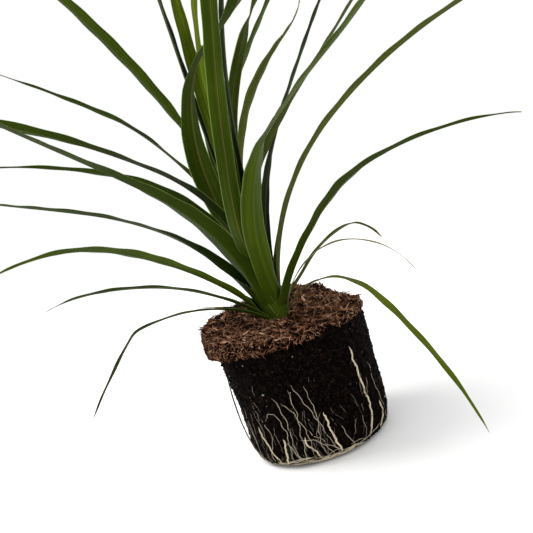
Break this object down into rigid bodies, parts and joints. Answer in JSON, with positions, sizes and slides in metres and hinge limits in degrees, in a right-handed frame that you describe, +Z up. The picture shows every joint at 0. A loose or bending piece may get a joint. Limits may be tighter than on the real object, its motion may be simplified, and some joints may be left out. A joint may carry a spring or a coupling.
{
  "type": "cordyline plant with bare root ball",
  "caption": "Young cordyline with long arching strap leaves rising from a bare moulded root ball topped with coir mulch.",
  "frame": {"origin": "centre of the flat underside of the root ball", "axes": "+Z up along the root ball's axis, +X to the right and -Y toward the side where most of the surface roots show"},
  "size_m": [0.6999, 0.6561, 0.7029],
  "materials": {
    "soil": "matt, moist potting soil",
    "mulch": "matt, coarse brown coir fibre",
    "root": "matt, pale cream root",
    "crown": "satin, green leaf sheath",
    "leaf": "satin, ribbed green leaf",
    "leaf_dry": "matt, dry straw-coloured leaf"
  },
  "bodies": {
    "root": {"root_ball": "soil", "coir_mulch": "mulch", "surface_roots": "root", "crown": "crown", "leaf_01": "leaf", "leaf_02": "leaf", "leaf_03": "leaf", "leaf_04": "leaf", "leaf_05": "leaf", "leaf_06": "leaf", "leaf_07": "leaf", "leaf_08": "leaf", "leaf_09": "leaf", "leaf_10": "leaf", "leaf_11": "leaf", "leaf_12": "leaf", "leaf_13": "leaf", "leaf_14": "leaf", "leaf_15": "leaf", "leaf_16": "leaf", "leaf_17": "leaf", "leaf_18": "leaf", "leaf_19": "leaf", "leaf_20": "leaf", "leaf_21": "leaf", "leaf_22": "leaf", "leaf_23": "leaf", "leaf_24": "leaf", "leaf_25": "leaf_dry", "leaf_26": "leaf", "leaf_27": "leaf", "leaf_28": "leaf", "leaf_29": "leaf", "leaf_30": "leaf", "leaf_31": "leaf_dry"}
  },
  "joints": []
}
